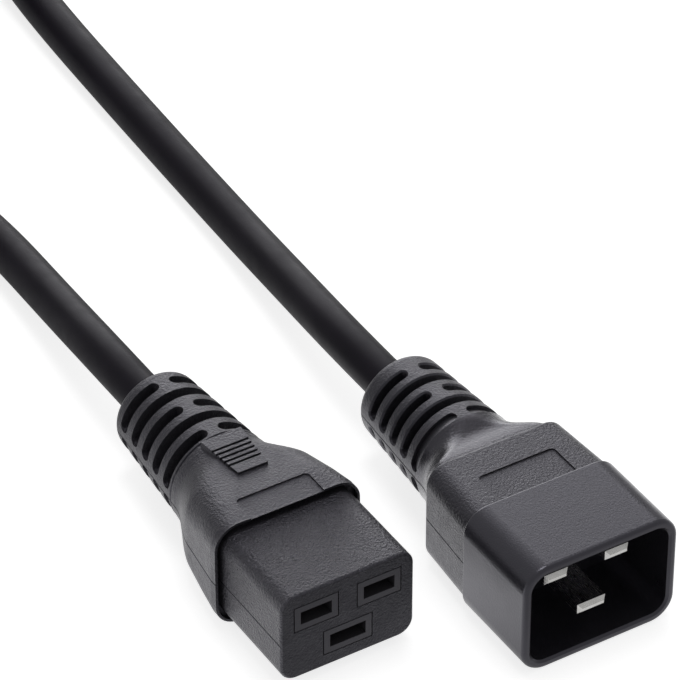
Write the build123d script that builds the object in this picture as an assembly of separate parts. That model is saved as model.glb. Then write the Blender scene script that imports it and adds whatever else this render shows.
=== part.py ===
from build123d import *
import math
import os

# The cord lies flat: +Z is up, the floor is z = 0 and both connectors point to -Y.
# It is drawn from the middle of the socket end's face, on the floor under it, and
# moved at the end so that the origin lies midway under both connectors.

# Fit between the two ends, which are made to plug into their own kind
pin_spacing = 13.0
pin_rise = 4.0
live_blade_width = 5.0
earth_blade_width = 6.0
blade_thickness = 2.0
slot_side_gap = 0.7
slot_face_gap = 0.4
mating_side_gap = 0.8
mating_top_gap = 0.35

# Socket end, the outer moulding
block_width = 27.6
block_height = 19.2
block_corner = 3.2
block_front_round = 0.6
block_length = 20.5
shoulder_step_side = 1.4
shoulder_step_top = 1.8
shoulder_corner = 5.0
shoulder_band = 1.6
shoulder_rim = 0.5
shoulder_groove_depth = 1.5
body_rear_width = 27.6
body_rear_corner = 6.4
body_rear_drop = 0.5
body_length = 12.5
socket_neck_length = 10.5
socket_total_length = 69.5
tower_seam_width = 0.2
tower_seam_depth = 0.5

# Socket end, the thumb pad and the bare label panel
pad_front_width = 6.2
pad_rear_width = 8.4
pad_front_offset = 12.1
pad_length = 11.6
pad_front_rise = 0.05
pad_rear_drop = 0.4
rib_count = 5
rib_pitch = 1.3
rib_groove_width = 0.6
rib_groove_depth = 0.55
rib_first_offset = 2.7
panel_width = 15.2
panel_length = 5.8
panel_depth = 0.3
panel_margin = 0.5
panel_corner = 1.0

# Plug end, the hard shroud
shroud_wall_side = 1.75
shroud_wall_top = 1.85
shroud_corner = 5.0
shroud_length = 20.2
shroud_depth = 17.0
shroud_rear_round = 0.5
rim_round = 0.9
rim_inner_round = 0.45
live_blade_recess = 4.2
earth_blade_recess = 2.2
blade_tip_chamfer = 0.7

# Plug end, the outer moulding
plug_body_step_side = 0.55
plug_body_step_top = 0.8
plug_body_corner = 4.2
plug_body_rear_width = 29.4
plug_body_length = 15.2
plug_body_rear_round = 0.9
plug_neck_width = 27.4
plug_neck_height = 20.9
plug_neck_corner = 4.6
plug_waist_width = 22.6
plug_waist_height = 19.7
plug_neck_length = 9.4
plug_total_length = 68.0
plug_panel_width = 16.4
plug_panel_length = 8.0

# Strain reliefs: one pattern of slots on both ends
socket_relief_radii = (10.5, 8.6)
plug_relief_radii = (10.4, 8.9)
relief_rear_round = 2.0
slot_row_count = 5
socket_row_pitch = 4.5
socket_row_width = 2.6
socket_first_row_offset = 3.6
plug_row_pitch = 4.1
plug_row_width = 1.8
plug_row_lip = 0.4
plug_first_row_offset = 1.6
slot_floor_wall = 1.8
side_bridge = 1.6
top_bridge = 2.4
crease_width = 0.5
crease_depth = 0.35
crease_offset = 1.6
ramp_depth = 0.9
ramp_width = 2.4

# The cord itself
cord_diameter = 8.6
core_diameter = 2.7
strand_diameter = 1.6
core_circle_radius = 1.62
core_bend_radius = 4.0
core_straight = 3.0
socket_core_length = 18.0
plug_core_length = 13.8

# Contact carrier and contacts of the socket end
tower_margin = 1.25
tower_length = 17.5
carrier_side_edge = 0.45
carrier_top_edge = 0.85
carrier_corner = 1.5
carrier_thickness = 4.0
contact_sheet = 0.4
contact_recess = 4.5
contact_length = 12.0
contact_back = 1.0
barrel_diameter = 2.7
barrel_length = 5.5
barrel_grip = 4.5

# Blade carrier behind the shroud of the plug end
spigot_side_edge = 2.0
spigot_top_edge = 2.2
spigot_corner = 2.0
spigot_length = 4.0

# Place of the plug end on the floor, beside and in front of the socket end
plug_x = 41.0
plug_y = -19.2

# The unseen length, wound into a coil
coil_x = 10.0
coil_y = 280.0
coil_radius = 43.5
coil_turns = 3.5
coil_play = 0.2
coil_stub_length = 28.0
tie_thickness = 1.0
tie_width = 14.0

# Sizes that follow from those above
body_width = block_width + 2 * shoulder_step_side
body_height = block_height + 2 * shoulder_step_top
body_rear_height = body_height - 2 * body_rear_drop
socket_axis_z = body_height / 2
cavity_width = block_width + 2 * mating_side_gap
cavity_height = block_height + 2 * mating_top_gap
shroud_width = cavity_width + 2 * shroud_wall_side
shroud_height = cavity_height + 2 * shroud_wall_top
plug_axis_z = shroud_height / 2
plug_body_width = shroud_width - 2 * plug_body_step_side
plug_body_height = shroud_height - 2 * plug_body_step_top
cord_radius = cord_diameter / 2
slot_height = blade_thickness + 2 * slot_face_gap
tower_height = slot_height + 2 * tower_margin
live_tower_width = live_blade_width + 2 * slot_side_gap + 2 * tower_margin
carrier_width = pin_spacing + live_tower_width + 2 * carrier_side_edge
carrier_height = 2 * pin_rise + tower_height + 2 * carrier_top_edge
spigot_width = pin_spacing + live_blade_width + 2 * spigot_side_edge
spigot_height = 2 * pin_rise + blade_thickness + 2 * spigot_top_edge
socket_barrel_rear = tower_length + carrier_thickness + barrel_length
plug_barrel_rear = shroud_length + spigot_length + barrel_length
socket_jacket_front = socket_barrel_rear + socket_core_length
plug_jacket_front = plug_barrel_rear + plug_core_length
slot_floor_radius = cord_radius + slot_floor_wall
socket_relief_y = block_length + body_length + socket_neck_length
plug_relief_y = shroud_length + plug_body_length + plug_neck_length
coil_width = cord_diameter + 2 * coil_play
coil_height = coil_turns * cord_diameter + coil_width
coil_low_z = tie_thickness + coil_play + cord_radius
coil_high_z = coil_low_z + coil_turns * cord_diameter
origin_x = (plug_x + shroud_width / 2 - body_width / 2) / 2
origin_y = (plug_y + socket_total_length) / 2

# Cord routes from each end to the coil, chosen by hand
socket_route = [
    (0.0, socket_total_length, socket_axis_z),
    (0.0, 87.0, socket_axis_z),
    (2.4, 110.0, 7.2),
    (4.25, 141.0, 4.35),
    (0.2, 160.0, 6.3),
    (-9.5, 178.0, 13.2),
    (-20.8, 196.5, 22.8),
    (-30.0, 214.0, 31.0),
    (coil_x - coil_radius, 233.0, coil_high_z),
    (coil_x - coil_radius, coil_y - coil_stub_length, coil_high_z),
]
plug_route = [
    (plug_x, plug_y + plug_total_length, plug_axis_z),
    (plug_x, 66.0, plug_axis_z),
    (43.9, 90.0, 8.2),
    (47.1, 120.0, 4.4),
    (49.1, 166.0, 4.3),
    (51.2, 207.0, 4.4),
    (coil_x + coil_radius, 230.0, coil_low_z),
    (coil_x + coil_radius, coil_y - coil_stub_length, coil_low_z),
]


def facing(y, z=0.0):
    # Section plane across a connector, seen from its front
    return Plane(origin=(0, y, z), x_dir=(1, 0, 0), z_dir=(0, -1, 0))


def bar(width, height, corner, y_front, y_rear, x=0.0, z=0.0):
    # Straight bar along Y with a rectangular or rounded section
    if corner > 0:
        section = RectangleRounded(width, height, corner)
    else:
        section = Rectangle(width, height)
    return extrude(facing(y_front, z) * Pos(x, 0) * section, y_front - y_rear)


def rod(radius, y_front, y_rear, x=0.0, z=0.0):
    # Round bar along Y
    return extrude(facing(y_front, z) * Pos(x, 0) * Circle(radius), y_front - y_rear)


def tapered_bar(sections, z):
    # Straight tapers between rounded rectangles: width, height, corner and place
    outlines = []
    for width, height, corner, y in sections:
        outlines.append(facing(y, z) * RectangleRounded(width, height, corner))
    return loft(outlines, ruled=True)


def easy_curve(start, end, start_slope, share):
    # Cubic that leaves one size with a slope and reaches the other one level
    rest = 1 - share
    return start * rest**2 * (1 + 2 * share) + start_slope * share * rest**2 + (
        end * share**2 * (3 - 2 * share)
    )


def swept_neck(front, slopes, waist_drop, start_corner, end_radius, y_front, y_rear, z):
    # Run from a rounded rectangle to the round strain relief, waisted if asked
    steps = 8
    end = 2 * end_radius
    sections = []
    for i in range(steps + 1):
        share = i / steps
        dip = math.sin(math.pi * share) ** 2
        width = easy_curve(front[0], end, slopes[0], share) - waist_drop[0] * dip
        height = easy_curve(front[1], end, slopes[1], share) - waist_drop[1] * dip
        ease = share * share * (3 - 2 * share)
        corner = start_corner + (0.985 * end_radius - start_corner) * ease
        corner = min(corner, 0.49 * height)
        y = y_front + (y_rear - y_front) * share
        sections.append(facing(y, z) * RectangleRounded(width, height, corner))
    return loft(sections)


def relief_cone(radii, y_front, y_rear, z):
    # Slightly tapered sleeve with a rounded rear edge
    profile = make_face(
        Polyline(
            (0, y_front),
            (radii[0], y_front),
            (radii[1], y_rear),
            (0, y_rear),
            close=True,
        )
    )
    sleeve = revolve(Pos(0, 0, z) * profile, Axis((0, 0, z), (0, 1, 0)), 360)
    rear_edge = sleeve.edges().filter_by(GeomType.CIRCLE).sort_by(Axis.Y)[-1]
    return fillet(rear_edge, relief_rear_round)


def relief_radius(radii, y, y_front, y_rear):
    # Outer radius of the sleeve at one place
    share = (y - y_front) / (y_rear - y_front)
    return radii[0] + (radii[1] - radii[0]) * share


def slot_profile(row_y, width, lip, surface):
    # Section of a slot, wider at the surface where it has a soft lip
    half = width / 2
    reach = 1.0
    if lip > 0:
        points = [
            (slot_floor_radius, row_y - half),
            (surface - lip, row_y - half),
            (surface + reach, row_y - half - lip - reach),
            (surface + reach, row_y + half + lip + reach),
            (surface - lip, row_y + half),
            (slot_floor_radius, row_y + half),
        ]
    else:
        points = [
            (slot_floor_radius, row_y - half),
            (surface + reach, row_y - half),
            (surface + reach, row_y + half),
            (slot_floor_radius, row_y + half),
        ]
    return make_face(Polyline(*points, close=True))


def slot_end(row_y, width, lip, surface, angle, z):
    # Round end of a slot, drilled towards the axis
    reach = 1.0
    depth = surface + reach - slot_floor_radius
    tool = Pos(0, 0, slot_floor_radius) * Cylinder(
        width / 2, depth, align=(Align.CENTER, Align.CENTER, Align.MIN)
    )
    if lip > 0:
        tool += Pos(0, 0, surface - lip) * Cone(
            width / 2,
            width / 2 + lip + reach,
            lip + reach,
            align=(Align.CENTER, Align.CENTER, Align.MIN),
        )
    return Pos(0, row_y, z) * Rot(0, 90 - angle, 0) * tool


def arc_slot(row_y, width, lip, surface, start, end, z):
    # One slot round the sleeve between two angles from +X
    profile = slot_profile(row_y, width, lip, surface)
    centre = Axis((0, 0, 0), (0, 1, 0))
    sector = Rot(0, -start, 0) * revolve(profile, centre, -(end - start))
    sector = Pos(0, 0, z) * sector
    sector += slot_end(row_y, width, lip, surface, start, z)
    sector += slot_end(row_y, width, lip, surface, end, z)
    return sector


def row_slots(row_y, width, lip, surface, split, z):
    # All slots of one row, the same above and below
    end = width / 2 + lip
    side = math.degrees((side_bridge / 2 + end) / surface)
    top = math.degrees((top_bridge / 2 + end) / surface)
    if split:
        spans = [(side, 90 - top), (90 + top, 180 - side)]
    else:
        spans = [(side, 180 - side)]
    cuts = []
    for start, end in spans:
        cuts.append(arc_slot(row_y, width, lip, surface, start, end, z))
        cuts.append(arc_slot(row_y, width, lip, surface, start + 180, end + 180, z))
    return cuts


def ramped_row(row_y, width, surface, z):
    # Crescent cuts: round-ended slots with a floor that rises to the front
    rear = row_y + width / 2
    front = rear - ramp_width
    profile = make_face(
        Polyline(
            (surface - ramp_depth, rear),
            (surface + 1.0, rear),
            (surface + 1.0, front),
            (surface, front),
            close=True,
        )
    )
    above_ramp = Pos(0, 0, z) * revolve(profile, Axis((0, 0, 0), (0, 1, 0)), 360)
    cuts = []
    for slot in row_slots((rear + front) / 2, ramp_width, 0.0, surface, True, z):
        cuts.append(slot & above_ramp)
    return cuts


def ring_groove(y, radius, z):
    # Fine crease round the start of the strain relief
    profile = make_face(
        Polyline(
            (radius - crease_depth, y),
            (radius + crease_depth, y - crease_width),
            (radius + crease_depth, y + crease_width),
            close=True,
        )
    )
    return Pos(0, 0, z) * revolve(profile, Axis((0, 0, 0), (0, 1, 0)), 360)


def pad_column():
    # Everything over the pad's outline, which widens to the rear
    y_front = block_length + pad_front_offset
    y_rear = y_front + pad_length
    outline = make_face(
        Polyline(
            (-pad_front_width / 2, y_front),
            (pad_front_width / 2, y_front),
            (pad_rear_width / 2, y_rear),
            (-pad_rear_width / 2, y_rear),
            close=True,
        )
    )
    return extrude(Pos(0, 0, socket_axis_z) * outline, body_height / 2 + 2)


def thumb_pad(top_z):
    # Raised pad that slopes down to the rear and carries the ribs
    y_front = block_length + pad_front_offset
    y_rear = y_front + pad_length
    side = make_face(
        Polyline(
            (y_front, socket_axis_z),
            (y_rear, socket_axis_z),
            (y_rear, top_z - pad_rear_drop),
            (y_front, top_z + pad_front_rise),
            close=True,
        )
    )
    profile = extrude(Plane.YZ * side, pad_rear_width, both=True)
    return pad_column() & profile


def rib_grooves(top_z):
    # Grooves between the ribs of the pad, following its slope
    cuts = []
    column = pad_column()
    y_front = block_length + pad_front_offset
    slope = (pad_front_rise + pad_rear_drop) / pad_length
    for i in range(rib_count):
        offset = rib_first_offset + i * rib_pitch
        surface = top_z + pad_front_rise - slope * offset
        cut = Box(pad_rear_width + 2, rib_groove_width, 2 * rib_groove_depth)
        cuts.append(column & (Pos(0, y_front + offset, surface) * cut))
    return cuts


def shoulder_groove(z):
    # Groove in the shoulder's face round the block, which leaves a thin rim
    rear = block_length + shoulder_groove_depth
    outer = bar(
        body_width - 2 * shoulder_rim,
        body_height - 2 * shoulder_rim,
        shoulder_corner - shoulder_rim,
        block_length,
        rear,
        0,
        z,
    )
    return outer - bar(block_width, block_height, block_corner, block_length, rear, 0, z)


def tower_seams(z_axis):
    # Seam between each tower of the carrier and the moulding round it
    cuts = []
    grown = 2 * tower_seam_width
    for name, (x, rise) in pin_places(pin_rise).items():
        width = slot_width(name) + 2 * tower_margin
        z = z_axis + rise
        outer = bar(width + grown, tower_height + grown, 0, 0, tower_seam_depth, x, z)
        cuts.append(outer - bar(width, tower_height, 0, 0, tower_seam_depth, x, z))
    return cuts


def label_panel(width, length, y_front, top_z):
    # Shallow bare panel, open to the front edge of the body
    outline = RectangleRounded(width, 2 * length, panel_corner)
    return extrude(Pos(0, y_front, top_z - panel_depth) * outline, panel_depth + 1)


def pin_places(rise):
    # Line, neutral and earth: place across and height over the axis
    half = pin_spacing / 2
    return {"line": (-half, rise), "neutral": (half, rise), "earth": (0.0, -rise)}


def blade_width(name):
    # The earth blade is the wide one
    if name == "earth":
        return earth_blade_width
    return live_blade_width


def slot_width(name):
    # Opening for a blade of the other end
    return blade_width(name) + 2 * slot_side_gap


def core_place(name, mirrored):
    # Place of each core in the cord's round section
    angles = {"line": 150, "neutral": 30, "earth": 270}
    angle = math.radians(angles[name])
    x = core_circle_radius * math.cos(angle)
    if mirrored:
        x = -x
    return x, core_circle_radius * math.sin(angle)


def lead_path(x, z, y_front, core_x, core_z, y_rear):
    # Easy S from a crimp barrel to the end of the jacket
    first = (x, y_front, z)
    second = (x, y_front + core_straight, z)
    third = (core_x, y_rear - core_straight, core_z)
    last = (core_x, y_rear, core_z)
    return FilletPolyline(first, second, third, last, radius=core_bend_radius)


def sweep_round(path, radius):
    # Round section along a path
    return sweep(Plane(origin=path @ 0, z_dir=path % 0) * Circle(radius), path=path)


def lead(name, x, z, y_barrel_rear, axis_x, axis_z, y_jacket, mirrored):
    # Insulation and copper of one core between barrel and jacket
    core_x, core_z = core_place(name, mirrored)
    path = lead_path(x, z, y_barrel_rear, axis_x + core_x, axis_z + core_z, y_jacket)
    whole = sweep_round(path, core_diameter / 2)
    copper = sweep_round(path, strand_diameter / 2)
    tip = rod(strand_diameter / 2, y_barrel_rear - barrel_grip, y_barrel_rear, x, z)
    return whole, whole - copper, copper + tip


def crimp_barrel(x, z, y_front, y_rear):
    # Blind barrel that holds the copper
    barrel = rod(barrel_diameter / 2, y_front, y_rear, x, z)
    return barrel - rod(strand_diameter / 2, y_rear - barrel_grip, y_rear, x, z)


def contact(name, x, z):
    # Folded spring contact of the socket end, open to the front
    y_front = contact_recess
    y_rear = contact_recess + contact_length
    width = slot_width(name) - contact_sheet
    outer = bar(width, slot_height, 0, y_front, y_rear, x, z)
    gap_height = slot_height - 2 * contact_sheet
    gap = bar(width, gap_height, 0, y_front, y_rear - contact_back, x, z)
    start = tower_length + carrier_thickness
    tail = rod(barrel_diameter / 2, y_rear, start, x, z)
    return (outer - gap) + tail + crimp_barrel(x, z, start, start + barrel_length)


def socket_insert(z_axis):
    # Three towers on a common plate, with a chamber for each contact
    plate_rear = tower_length + carrier_thickness
    solid = bar(
        carrier_width, carrier_height, carrier_corner, tower_length, plate_rear, 0, z_axis
    )
    chambers = []
    for name, (x, rise) in pin_places(pin_rise).items():
        z = z_axis + rise
        width = slot_width(name)
        solid += bar(width + 2 * tower_margin, tower_height, 0, 0, tower_length, x, z)
        chambers.append(bar(width, slot_height, 0, 0, contact_recess + contact_length, x, z))
        chambers.append(rod(barrel_diameter / 2, contact_recess, plate_rear, x, z))
    filled = solid
    return filled, filled - chambers


def socket_shell(z):
    # Outside of the socket end before its chambers are cut
    body_y = block_length + body_length
    taper_y = block_length + shoulder_band
    flat_y = block_length + panel_length + panel_margin
    flat_share = (flat_y - taper_y) / (body_y - taper_y)
    flat_width = body_width + (body_rear_width - body_width) * flat_share
    flat_corner = shoulder_corner + (body_rear_corner - shoulder_corner) * flat_share
    block = bar(block_width, block_height, block_corner, 0, block_length, 0, z)
    shell = fillet(block.faces().sort_by(Axis.Y)[0].edges(), block_front_round)
    shell += bar(body_width, body_height, shoulder_corner, block_length, taper_y, 0, z)
    sections = [
        (body_width, body_height, shoulder_corner, taper_y),
        (flat_width, body_height, flat_corner, flat_y),
        (body_rear_width, body_rear_height, body_rear_corner, body_y),
    ]
    shell += tapered_bar(sections, z)
    slope = socket_neck_length / (body_y - flat_y)
    shell += swept_neck(
        (body_rear_width, body_rear_height),
        (
            (body_rear_width - flat_width) * slope,
            (body_rear_height - body_height) * slope,
        ),
        (0.0, 0.0),
        body_rear_corner,
        socket_relief_radii[0],
        body_y,
        socket_relief_y,
        z,
    )
    shell += relief_cone(socket_relief_radii, socket_relief_y, socket_total_length, z)
    shell += thumb_pad(body_height)
    return shell


def relief_slots(radii, y_front, y_rear, first_row, pitch, width, lip, z, ramped):
    # Rows from the neck to the rear, split rows and long rows in turn
    cuts = []
    for i in range(slot_row_count):
        row_y = first_row + i * pitch
        surface = relief_radius(radii, row_y, y_front, y_rear)
        if i == 0 and ramped:
            cuts += ramped_row(row_y, width, surface, z)
        else:
            cuts += row_slots(row_y, width, lip, surface, i % 2 == 0, z)
    return cuts


def build_socket_end():
    # All pieces of the socket end
    z = socket_axis_z
    pieces = {}
    filled_insert, insert = socket_insert(z)
    pieces["c19_insert"] = insert
    jacket = rod(cord_radius, socket_jacket_front, socket_total_length, 0, z)
    pieces["c19_sheath_end"] = jacket
    inside = [filled_insert, jacket]
    for name, (x, rise) in pin_places(pin_rise).items():
        pieces[f"c19_{name}_contact"] = contact(name, x, z + rise)
        inside.append(
            rod(barrel_diameter / 2, tower_length, socket_barrel_rear, x, z + rise)
        )
        whole, insulation, copper = lead(
            name, x, z + rise, socket_barrel_rear, 0, z, socket_jacket_front, False
        )
        pieces[f"c19_{name}_insulation"] = insulation
        pieces[f"c19_{name}_strand"] = copper
        inside.append(whole)
    shell = socket_shell(z)
    cuts = rib_grooves(body_height)
    cuts += tower_seams(z)
    cuts.append(shoulder_groove(z))
    cuts.append(label_panel(panel_width, panel_length, block_length, body_height))
    crease_y = socket_relief_y + crease_offset
    crease_radius = relief_radius(
        socket_relief_radii, crease_y, socket_relief_y, socket_total_length
    )
    cuts.append(ring_groove(crease_y, crease_radius, z))
    cuts += relief_slots(
        socket_relief_radii,
        socket_relief_y,
        socket_total_length,
        socket_relief_y + socket_first_row_offset,
        socket_row_pitch,
        socket_row_width,
        0.0,
        z,
        False,
    )
    pieces["c19_overmould"] = shell - cuts - inside
    return pieces


def blade(name, x, z):
    # Flat blade with a chamfered tip and its crimp barrel
    recess = live_blade_recess
    if name == "earth":
        recess = earth_blade_recess
    rear = shroud_length + spigot_length
    flat = bar(blade_width(name), blade_thickness, 0, recess, rear, x, z)
    tip = flat.faces().sort_by(Axis.Y)[0]
    flat = chamfer(tip.edges(), blade_tip_chamfer)
    return flat + crimp_barrel(x, z, rear, rear + barrel_length)


def shroud(z):
    # Cup with a rounded rim, a floor and a spigot into the moulding
    cup = bar(shroud_width, shroud_height, shroud_corner, 0, shroud_length, 0, z)
    cup = fillet(cup.faces().sort_by(Axis.Y)[0].edges(), rim_round)
    cup = fillet(cup.faces().sort_by(Axis.Y)[-1].edges(), shroud_rear_round)
    inner_corner = shroud_corner - shroud_wall_side
    cavity = bar(cavity_width, cavity_height, inner_corner, 0, shroud_depth, 0, z)
    cup -= cavity
    rim = cup.faces().sort_by(Axis.Y)[0]
    cup = chamfer(rim.inner_wires()[0].edges(), rim_inner_round)
    rear = shroud_length + spigot_length
    spigot = bar(spigot_width, spigot_height, spigot_corner, shroud_length, rear, 0, z)
    return cup + spigot, spigot


def plug_shell(z):
    # Outside of the plug end's moulding behind the shroud
    body_y = shroud_length + plug_body_length
    sections = [
        (plug_body_width, plug_body_height, plug_body_corner, shroud_length),
        (plug_body_rear_width, plug_body_height, plug_body_corner, body_y),
    ]
    body = tapered_bar(sections, z)
    body = fillet(body.faces().sort_by(Axis.Y)[-1].edges(), plug_body_rear_round)
    overlap = 2.0
    neck = bar(
        plug_neck_width, plug_neck_height, plug_neck_corner, body_y - overlap, body_y, 0, z
    )
    radius = plug_relief_radii[0]
    waist_drop = (
        (plug_neck_width + 2 * radius) / 2 - plug_waist_width,
        (plug_neck_height + 2 * radius) / 2 - plug_waist_height,
    )
    neck += swept_neck(
        (plug_neck_width, plug_neck_height),
        (0.0, 0.0),
        waist_drop,
        plug_neck_corner,
        radius,
        body_y,
        plug_relief_y,
        z,
    )
    return body + neck + relief_cone(plug_relief_radii, plug_relief_y, plug_total_length, z)


def build_plug_end():
    # All pieces of the plug end, in its own place
    z = plug_axis_z
    pieces = {}
    cup, spigot = shroud(z)
    spigot_rear = shroud_length + spigot_length
    jacket = rod(cord_radius, plug_jacket_front, plug_total_length, 0, z)
    pieces["c20_sheath_end"] = jacket
    inside = [spigot, jacket]
    holes = []
    for name, (x, rise) in pin_places(pin_rise).items():
        x = -x
        pieces[f"c20_{name}_blade"] = blade(name, x, z + rise)
        holes.append(
            bar(blade_width(name), blade_thickness, 0, shroud_depth, spigot_rear, x, z + rise)
        )
        inside.append(rod(barrel_diameter / 2, spigot_rear, plug_barrel_rear, x, z + rise))
        whole, insulation, copper = lead(
            name, x, z + rise, plug_barrel_rear, 0, z, plug_jacket_front, True
        )
        pieces[f"c20_{name}_insulation"] = insulation
        pieces[f"c20_{name}_strand"] = copper
        inside.append(whole)
    pieces["c20_shroud"] = cup - holes
    cuts = relief_slots(
        plug_relief_radii,
        plug_relief_y,
        plug_total_length,
        plug_relief_y + plug_first_row_offset,
        plug_row_pitch,
        plug_row_width,
        plug_row_lip,
        z,
        True,
    )
    top_z = z + plug_body_height / 2
    cuts.append(label_panel(plug_panel_width, plug_panel_length, shroud_length, top_z))
    pieces["c20_overmould"] = plug_shell(z) - cuts - inside
    place = Pos(plug_x, plug_y, 0)
    return {name: place * piece for name, piece in pieces.items()}


def bend_radii(points):
    # Radius of each bend, from the shorter run beside it
    radii = []
    for before, here, after in zip(points, points[1:], points[2:]):
        run_in = Vector(*here) - Vector(*before)
        run_out = Vector(*after) - Vector(*here)
        half_turn = math.radians(run_in.get_angle(run_out)) / 2
        radii.append(0.45 * min(run_in.length, run_out.length) / math.tan(half_turn))
    return radii


def cord_run(points):
    # Jacketed cord along a route of straight runs and tangent arcs
    path = FilletPolyline(*points, radius=bend_radii(points))
    return sweep_round(path, cord_radius), path.length


def coil():
    # Closed envelope of the wound cord, with a straight stub for each run
    z = tie_thickness + coil_height / 2
    section = RectangleRounded(coil_width, coil_height, 0.48 * coil_width)
    section = Plane.XZ * Pos(coil_radius, z) * section
    ring = Pos(coil_x, coil_y, 0) * revolve(section, Axis.Z, 360)
    near = coil_x + coil_radius
    far = coil_x - coil_radius
    ring += rod(cord_radius, coil_y - coil_stub_length, coil_y, near, coil_low_z)
    ring += rod(cord_radius, coil_y - coil_stub_length, coil_y, far, coil_high_z)
    return ring


def tie(ring):
    # Strap round the coil at its far side
    grown = tie_thickness * 2
    z = tie_thickness + coil_height / 2
    section = RectangleRounded(
        coil_width + grown, coil_height + grown, 0.48 * coil_width + tie_thickness
    )
    section = Plane.XZ * Pos(coil_radius, z) * section
    angle = math.degrees(tie_width / coil_radius)
    band = revolve(section, Axis.Z, angle)
    band = Pos(coil_x, coil_y, 0) * Rot(0, 0, 90 - angle / 2) * band
    return band - ring


def write_parts(pieces):
    # One file for each piece, measured from midway under both connectors
    os.makedirs("parts", exist_ok=True)
    for name, piece in pieces.items():
        export_step(Pos(-origin_x, -origin_y, 0) * piece, f"parts/{name}.step")


parts = build_socket_end()
parts.update(build_plug_end())
parts["cord_c19_run"], socket_run_length = cord_run(socket_route)
parts["cord_c20_run"], plug_run_length = cord_run(plug_route)
parts["cord_coil"] = coil()
parts["coil_tie"] = tie(parts["cord_coil"])
write_parts(parts)

section_area = math.pi * cord_radius**2
for label, route in (("socket", socket_route), ("plug", plug_route)):
    print(label, "bend radii", [round(r, 1) for r in bend_radii(route)])
print("socket run", round(socket_run_length, 1), round(socket_run_length * section_area))
print("socket run volume", round(parts["cord_c19_run"].volume))
print("plug run", round(plug_run_length, 1), round(plug_run_length * section_area))
print("plug run volume", round(parts["cord_c20_run"].volume))
wound = coil_turns * 2 * math.pi * coil_radius + 2 * coil_stub_length
outside = socket_run_length + plug_run_length + wound
print("cord outside the ends", round(outside, 1))
held = socket_total_length - socket_jacket_front + plug_total_length - plug_jacket_front
print("whole cord", round(outside + held, 1))
print("origin", round(origin_x, 3), round(origin_y, 3))
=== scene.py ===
import math

import bpy
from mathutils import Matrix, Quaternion, Vector


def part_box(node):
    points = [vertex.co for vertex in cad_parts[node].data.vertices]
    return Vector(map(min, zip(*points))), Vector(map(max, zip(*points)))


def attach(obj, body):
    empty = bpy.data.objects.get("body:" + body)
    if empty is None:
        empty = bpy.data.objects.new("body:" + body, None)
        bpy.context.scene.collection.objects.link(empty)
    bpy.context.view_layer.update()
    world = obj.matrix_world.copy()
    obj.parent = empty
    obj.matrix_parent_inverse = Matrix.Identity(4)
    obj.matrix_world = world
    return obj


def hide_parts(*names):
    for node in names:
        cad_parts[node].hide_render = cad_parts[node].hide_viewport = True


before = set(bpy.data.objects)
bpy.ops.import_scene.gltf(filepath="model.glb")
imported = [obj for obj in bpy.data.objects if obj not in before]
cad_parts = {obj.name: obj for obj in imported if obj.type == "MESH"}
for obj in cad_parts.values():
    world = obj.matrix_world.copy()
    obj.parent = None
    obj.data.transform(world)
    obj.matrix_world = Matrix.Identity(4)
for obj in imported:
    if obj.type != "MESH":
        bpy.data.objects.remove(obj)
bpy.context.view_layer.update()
scene = bpy.context.scene
scene.view_settings.view_transform = "Standard"

# Front faces of both mouldings along Y, from the frame
socket_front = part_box("c19_overmould")[0].y
plug_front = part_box("c20_overmould")[0].y

# Camera, at the photograph's angle
camera_azimuth = math.radians(-31.462)
camera_elevation = math.radians(37.903)
camera_roll = math.radians(-0.1)
camera_place = (-0.334425, -0.53474, 0.53919)
camera_lens = 238.24


def add_camera():
    # A long lens that looks down along the azimuth and elevation
    data = bpy.data.cameras.new("camera")
    data.lens = camera_lens
    data.sensor_width = 36
    data.clip_start = 0.01
    data.clip_end = 20
    camera = bpy.data.objects.new("camera", data)
    scene.collection.objects.link(camera)
    look = Vector((
        -math.sin(camera_azimuth) * math.cos(camera_elevation),
        math.cos(camera_azimuth) * math.cos(camera_elevation),
        -math.sin(camera_elevation),
    ))
    camera.rotation_mode = "QUATERNION"
    turn = Quaternion((0, 0, 1), camera_roll)
    camera.rotation_quaternion = look.to_track_quat("-Z", "Y") @ turn
    camera.location = camera_place
    scene.camera = camera


add_camera()

# The cord: its route, in metres, from the socket end to the coil and back to the plug end
cord_diameter = 0.0086
socket_route = [
    (-0.021075, 0.04435, 0.0114),
    (-0.021075, 0.06185, 0.0114),
    (-0.018675, 0.08485, 0.0072),
    (-0.016825, 0.11585, 0.00435),
    (-0.020875, 0.13485, 0.0063),
    (-0.030575, 0.15285, 0.0132),
    (-0.041875, 0.17135, 0.0228),
    (-0.051075, 0.18885, 0.0310),
    (-0.054575, 0.20785, 0.0356),
    (-0.054575, 0.22685, 0.0356),
]
plug_route = [
    (0.019925, 0.02365, 0.0118),
    (0.019925, 0.04085, 0.0118),
    (0.022825, 0.06485, 0.0082),
    (0.026025, 0.09485, 0.0044),
    (0.028025, 0.14085, 0.0043),
    (0.030125, 0.18185, 0.0044),
    (0.032425, 0.20485, 0.0055),
    (0.032425, 0.22685, 0.0055),
]
coil_centre = (-0.011075, 0.25485)
coil_radius = 0.0435
coil_turns = 3.5
coil_low_z = 0.0055
turn_points = 16


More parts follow.
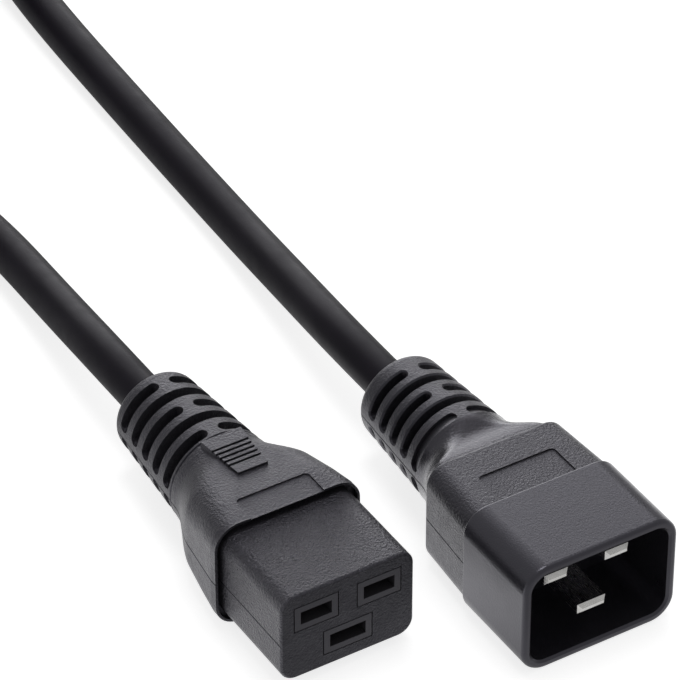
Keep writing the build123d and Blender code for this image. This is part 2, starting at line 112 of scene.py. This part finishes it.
def coil_route():
    # Turns on top of each other, from the high one on the left to the low one on the right
    step = 2 * math.pi / turn_points
    lead = coil_radius * math.tan(step / 2)
    reach = coil_radius / math.cos(step / 2)
    count = int(coil_turns * turn_points)
    high_z = coil_low_z + coil_turns * cord_diameter
    points = [(coil_centre[0] - coil_radius, coil_centre[1] - lead, high_z)]
    for i in reversed(range(count)):
        angle = (i + 0.5) * step
        z = coil_low_z + cord_diameter * angle / (2 * math.pi)
        x = coil_centre[0] + reach * math.cos(angle)
        points.append((x, coil_centre[1] + reach * math.sin(angle), z))
    points.append((coil_centre[0] + coil_radius, coil_centre[1] - lead, coil_low_z))
    return points


def add_cord():
    # One smooth line with the route's points as its control points
    points = socket_route + coil_route() + plug_route[::-1]
    data = bpy.data.curves.new("power_cord", "CURVE")
    data.dimensions = "3D"
    spline = data.splines.new("NURBS")
    spline.points.add(len(points) - 1)
    for point, place in zip(spline.points, points):
        point.co = (*place, 1)
        point.radius = cord_diameter / 2
    spline.order_u = 3
    spline.use_endpoint_u = True
    spline.resolution_u = 8
    data.bevel_depth = 1.0
    data.bevel_resolution = 7
    data.use_fill_caps = True
    cord = bpy.data.objects.new("power_cord", data)
    scene.collection.objects.link(cord)
    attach(cord, "root")
    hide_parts("cord_c19_run", "cord_c20_run", "cord_coil")
    return cord


cord = add_cord()


class Nodes:
    # Short names for building one material's nodes
    def __init__(self, name):
        self.material = bpy.data.materials.new(name)
        self.material.use_nodes = True
        self.tree = self.material.node_tree
        self.shader = self.tree.nodes["Principled BSDF"]
        self.place = self.add("ShaderNodeTexCoord").outputs["Object"]

    def add(self, kind, **settings):
        node = self.tree.nodes.new(kind)
        for key, value in settings.items():
            setattr(node, key, value)
        return node

    def link(self, source, target):
        if isinstance(source, (int, float, tuple)):
            target.default_value = source
        else:
            self.tree.links.new(source, target)

    def noise(self, scale, detail=2.0, rough=0.5, where=None):
        node = self.add("ShaderNodeTexNoise")
        self.link(where or self.place, node.inputs["Vector"])
        self.link(scale, node.inputs["Scale"])
        self.link(detail, node.inputs["Detail"])
        self.link(rough, node.inputs["Roughness"])
        return node.outputs["Fac"]

    def cells(self, scale, where=None):
        node = self.add("ShaderNodeTexVoronoi", feature="SMOOTH_F1")
        self.link(where or self.place, node.inputs["Vector"])
        self.link(scale, node.inputs["Scale"])
        return node.outputs["Distance"]

    def math(self, kind, a, b=0.0, c=0.0):
        node = self.add("ShaderNodeMath", operation=kind)
        for value, socket in zip((a, b, c), node.inputs):
            self.link(value, socket)
        return node.outputs[0]

    def spread(self, value, low, high, to_low, to_high):
        node = self.add("ShaderNodeMapRange")
        for source, socket in zip((value, low, high, to_low, to_high), node.inputs):
            self.link(source, socket)
        return node.outputs[0]

    def blend(self, share, first, second):
        node = self.add("ShaderNodeMix", data_type="RGBA")
        self.link(share, node.inputs["Factor"])
        self.link(first, node.inputs["A"])
        self.link(second, node.inputs["B"])
        return node.outputs["Result"]

    def bump(self, height, strength, distance, under=None):
        node = self.add("ShaderNodeBump")
        self.link(strength, node.inputs["Strength"])
        self.link(distance, node.inputs["Distance"])
        self.link(height, node.inputs["Height"])
        if under is not None:
            self.link(under, node.inputs["Normal"])
        return node.outputs["Normal"]

    def split(self):
        node = self.add("ShaderNodeSeparateXYZ")
        self.link(self.place, node.inputs[0])
        return node.outputs

    def facing(self):
        node = self.add("ShaderNodeSeparateXYZ")
        self.link(self.add("ShaderNodeTexCoord").outputs["Normal"], node.inputs[0])
        return node.outputs

    def finish(self, colour, roughness, normal=None, **fixed):
        inputs = self.shader.inputs
        self.link(colour, inputs["Base Color"])
        self.link(roughness, inputs["Roughness"])
        if normal is not None:
            self.link(normal, inputs["Normal"])
        for key, value in fixed.items():
            inputs[key.replace("_", " ")].default_value = value
        return self.material


# The plastics and the jacket shine a little violet, as in the photograph
violet = (0.88, 0.86, 1.0, 1)
# Painted shade: near-black colour laid on the moulding faces turned to the front
painted_front_shade = (0.004, 0.004, 0.005, 1)
seam_black = (0.001, 0.001, 0.001, 1)
seam_half = 0.00007
seam_edge = 0.00022
seam_depth = 0.0015
dull_step = 0.35


def moulded_plastic(name, light, dark, rough, grain, depth, seam_z, zone, zone_grain, zone_gloss):
    # Spark-eroded grain, a front face that is duller and darkened with painted shade, and a fine
    # parting line along both sides
    # The zone is a stretch along Y whose grain and gloss differ from the rest
    n = Nodes(name)
    y = n.split()[1]
    entry = n.spread(y, zone[0], zone[0] + 0.0015, 0.0, 1.0)
    leave = n.spread(y, zone[1] - 0.0005, zone[1] + 0.0005, 1.0, 0.0)
    inside = n.math("MULTIPLY", entry, leave)
    cells = n.cells(grain)
    fine = n.noise(grain * 0.85, 3.0, 0.65)
    height = n.math("ADD", n.math("MULTIPLY", cells, 0.4), fine)
    blotch = n.noise(180, 3.0)
    tone = n.math("MULTIPLY_ADD", height, 0.5, n.math("MULTIPLY", blotch, 0.5))
    colour = n.blend(n.spread(tone, 0.3, 0.8, 0.0, 1.0), dark, light)
    facing = n.facing()
    # Painted shade on the faces turned to the front, which are also made rougher
    front_shade = n.spread(facing[1], -0.98, -0.85, 1.0, 0.0)
    colour = n.blend(front_shade, colour, painted_front_shade)
    sides = n.spread(n.math("ABSOLUTE", facing[0]), 0.8, 0.95, 0.0, 1.0)
    off = n.math("ABSOLUTE", n.math("SUBTRACT", n.split()[2], seam_z))
    seam = n.math("MULTIPLY", n.spread(off, seam_half, seam_edge, 1.0, 0.0), sides)
    colour = n.blend(seam, colour, seam_black)
    worn = n.spread(n.noise(420, 2.0), 0.3, 0.7, rough - 0.04, rough + 0.04)
    worn = n.math("MULTIPLY_ADD", n.math("MAXIMUM", front_shade, seam), dull_step, worn)
    worn = n.math("MULTIPLY_ADD", inside, -zone_gloss, worn)
    height = n.math("MULTIPLY", height, n.spread(inside, 0.0, 1.0, 1.0, zone_grain))
    normal = n.bump(height, 0.8, depth)
    normal = n.bump(n.math("SUBTRACT", 1.0, seam), 1.0, seam_depth, normal)
    return n.finish(colour, worn, normal, Specular_IOR_Level=0.8, Specular_Tint=violet)


def smooth_plastic(name, light, dark, rough, shine):
    # Hard satin plastic with faint flow marks
    n = Nodes(name)
    flow = n.noise(90, 4.0, 0.6)
    fine = n.noise(3200, 2.0)
    colour = n.blend(n.spread(flow, 0.3, 0.7, 0.0, 1.0), dark, light)
    worn = n.spread(flow, 0.3, 0.7, rough - 0.03, rough + 0.04)
    normal = n.bump(n.math("MULTIPLY_ADD", fine, 1.2, flow), 0.6, 0.00005)
    return n.finish(colour, worn, normal, Specular_IOR_Level=shine, Specular_Tint=violet)


def plated_metal(name, light, dark, rough):
    # Drawn metal with fine lines along Y
    n = Nodes(name)
    stretch = n.add("ShaderNodeMapping")
    n.link(n.place, stretch.inputs["Vector"])
    stretch.inputs["Scale"].default_value = (1.0, 0.06, 1.0)
    lines = n.noise(6000, 2.0, 0.5, stretch.outputs["Vector"])
    cloud = n.noise(500, 3.0)
    colour = n.blend(n.spread(cloud, 0.3, 0.7, 0.0, 1.0), dark, light)
    worn = n.spread(lines, 0.3, 0.7, rough - 0.06, rough + 0.08)
    normal = n.bump(lines, 0.2, 0.00003)
    return n.finish(colour, worn, normal, Metallic=1.0)


def jacket_plastic(name, light, dark, rough):
    # Smooth cord jacket with a faint draw along it
    n = Nodes(name)
    cloud = n.noise(110, 3.0)
    fine = n.noise(2600, 3.0)
    colour = n.blend(n.spread(cloud, 0.3, 0.7, 0.0, 1.0), dark, light)
    worn = n.spread(n.noise(300, 2.0), 0.3, 0.7, rough - 0.04, rough + 0.04)
    normal = n.bump(fine, 0.1, 0.0001)
    return n.finish(colour, worn, normal, Specular_IOR_Level=0.15, Specular_Tint=violet)


def core_plastic(name, first, second):
    # Core insulation in two colours, which change along it
    n = Nodes(name)
    cloud = n.noise(700, 2.0)
    band = n.math("GREATER_THAN", n.noise(120, 0.0), 0.5)
    colour = n.blend(band, first, second)
    normal = n.bump(cloud, 0.1, 0.0001)
    return n.finish(colour, 0.45, normal)


# The socket's block has a coarser grain, and the plug's neck is polished
overmould = moulded_plastic(
    "moulded_grain",
    light=(0.024, 0.023, 0.027, 1),
    dark=(0.012, 0.011, 0.014, 1),
    rough=0.36,
    grain=2300,
    depth=0.00027,
    seam_z=0.0105,
    zone=(socket_front - 0.0015, socket_front + 0.0205),
    zone_grain=1.8,
    zone_gloss=0.05,
)
plug_mould = moulded_plastic(
    "plug_grain",
    light=(0.024, 0.023, 0.027, 1),
    dark=(0.013, 0.012, 0.015, 1),
    rough=0.34,
    grain=2500,
    depth=0.00019,
    seam_z=0.0114,
    zone=(plug_front + 0.0148, plug_front + 0.0252),
    zone_grain=0.4,
    zone_gloss=0.13,
)
insert = smooth_plastic("carrier_satin", (0.032, 0.031, 0.035, 1), (0.025, 0.024, 0.027, 1), 0.5, 0.5)
shroud = smooth_plastic("shroud_satin", (0.020, 0.019, 0.023, 1), (0.015, 0.014, 0.018, 1), 0.3, 1.0)
nickel = plated_metal("nickel_plate", (0.93, 0.92, 0.90, 1), (0.84, 0.83, 0.80, 1), 0.22)
bronze = plated_metal("spring_bronze", (0.55, 0.38, 0.16, 1), (0.42, 0.28, 0.12, 1), 0.35)
copper = plated_metal("copper_wire", (0.66, 0.30, 0.16, 1), (0.52, 0.22, 0.11, 1), 0.35)
jacket = jacket_plastic("cord_jacket", (0.012, 0.010, 0.0145, 1), (0.009, 0.0075, 0.011, 1), 0.44)
strap = jacket_plastic("strap", (0.018, 0.018, 0.019, 1), (0.012, 0.012, 0.013, 1), 0.6)
brown = core_plastic("brown_core", (0.12, 0.05, 0.02, 1), (0.10, 0.04, 0.02, 1))
blue = core_plastic("blue_core", (0.02, 0.07, 0.40, 1), (0.02, 0.06, 0.34, 1))
earth = core_plastic("earth_core", (0.10, 0.32, 0.03, 1), (0.70, 0.55, 0.03, 1))

finishes = {
    "c19_overmould": overmould,
    "c19_insert": insert,
    "c19_sheath_end": jacket,
    "c20_overmould": plug_mould,
    "c20_shroud": shroud,
    "c20_sheath_end": jacket,
    "coil_tie": strap,
}
for end in ("c19", "c20"):
    finishes[f"{end}_line_insulation"] = brown
    finishes[f"{end}_neutral_insulation"] = blue
    finishes[f"{end}_earth_insulation"] = earth
for pole in ("line", "neutral", "earth"):
    finishes[f"c19_{pole}_contact"] = bronze
    finishes[f"c20_{pole}_blade"] = nickel
    for end in ("c19", "c20"):
        finishes[f"{end}_{pole}_strand"] = copper


def dress(name, material):
    # The CAD mesh stays as it is and gets its finish
    piece = bpy.data.objects[name]
    piece.data.materials.clear()
    piece.data.materials.append(material)


for name, material in finishes.items():
    dress(name, material)
cord.data.materials.append(jacket)


floor_size = 6.0
floor_tone = 0.6
camera_glow = 0.76
mirror_glow = 0.85
world_level = 0.36


def add_floor():
    # Plain floor with the object's soft shadow, white to the camera
    # In reflections it is white beside the object, with a painted pool of light there, and painted
    # shade dims it before the object and behind it
    half = floor_size / 2
    mesh = bpy.data.meshes.new("floor")
    corners = [(-half, -half, 0), (half, -half, 0), (half, half, 0), (-half, half, 0)]
    mesh.from_pydata(corners, [], [(0, 1, 2, 3)])
    floor = bpy.data.objects.new("floor", mesh)
    scene.collection.objects.link(floor)
    n = Nodes("floor_paper")
    low = (floor_tone * 0.99,) * 3 + (1,)
    high = (floor_tone * 1.01,) * 3 + (1,)
    n.finish(n.blend(n.noise(3, 2.0), low, high), 0.8, Specular_IOR_Level=0.0)
    path = n.add("ShaderNodeLightPath").outputs
    across, depth, _ = n.split()
    # Painted light and shade seen only in reflections: brighter beside and between the connectors,
    # painted shadow before them and behind them
    beside = n.spread(across, -0.03, -0.005, 1.0, 1.2)
    front_shade = n.spread(depth, -0.06, -0.02, 0.12, beside)
    under = n.spread(depth, 0.02, 0.08, 1.0, 0.2)
    far = n.spread(depth, 0.4, 0.8, 0.0, 1.0)
    painted_reflection_light = n.math("MULTIPLY", front_shade, n.math("MAXIMUM", under, far))
    mirrored = n.math("MULTIPLY", path["Is Glossy Ray"], n.math("MULTIPLY", painted_reflection_light, mirror_glow))
    glow = n.math("MULTIPLY_ADD", path["Is Camera Ray"], camera_glow, mirrored)
    n.shader.inputs["Emission Color"].default_value = (1, 1, 1, 1)
    n.link(glow, n.shader.inputs["Emission Strength"])
    mesh.materials.append(n.material)


def add_light(name, place, target, width, height, power):
    # Rectangular soft box that faces its target
    data = bpy.data.lights.new(name, "AREA")
    data.shape = "RECTANGLE"
    data.size = width
    data.size_y = height
    data.energy = power
    light = bpy.data.objects.new(name, data)
    light.location = place
    light.rotation_mode = "QUATERNION"
    light.rotation_quaternion = (Vector(target) - Vector(place)).to_track_quat("-Z", "Y")
    scene.collection.objects.link(light)


add_floor()
# Each lamp: name, place, target, width, height, watts
lamps = [
    ("back_box", (0.40, 1.02, 0.45), (0.0, 0.0, 0.0), 0.85, 0.84, 4.0),
    ("low_box", (0.5, 1.0, 0.13), (0.0, 0.0, 0.02), 0.7, 0.26, 0.7),
    ("high_box", (0.1, 0.15, 1.25), (0.0, 0.0, 0.0), 0.5, 0.5, 3.5),
]
for lamp in lamps:
    add_light(*lamp)


def add_world():
    # Even white surroundings
    world = bpy.data.worlds.new("studio")
    scene.world = world
    world.use_nodes = True
    background = world.node_tree.nodes["Background"]
    background.inputs["Color"].default_value = (1, 1, 1, 1)
    background.inputs["Strength"].default_value = world_level


add_world()
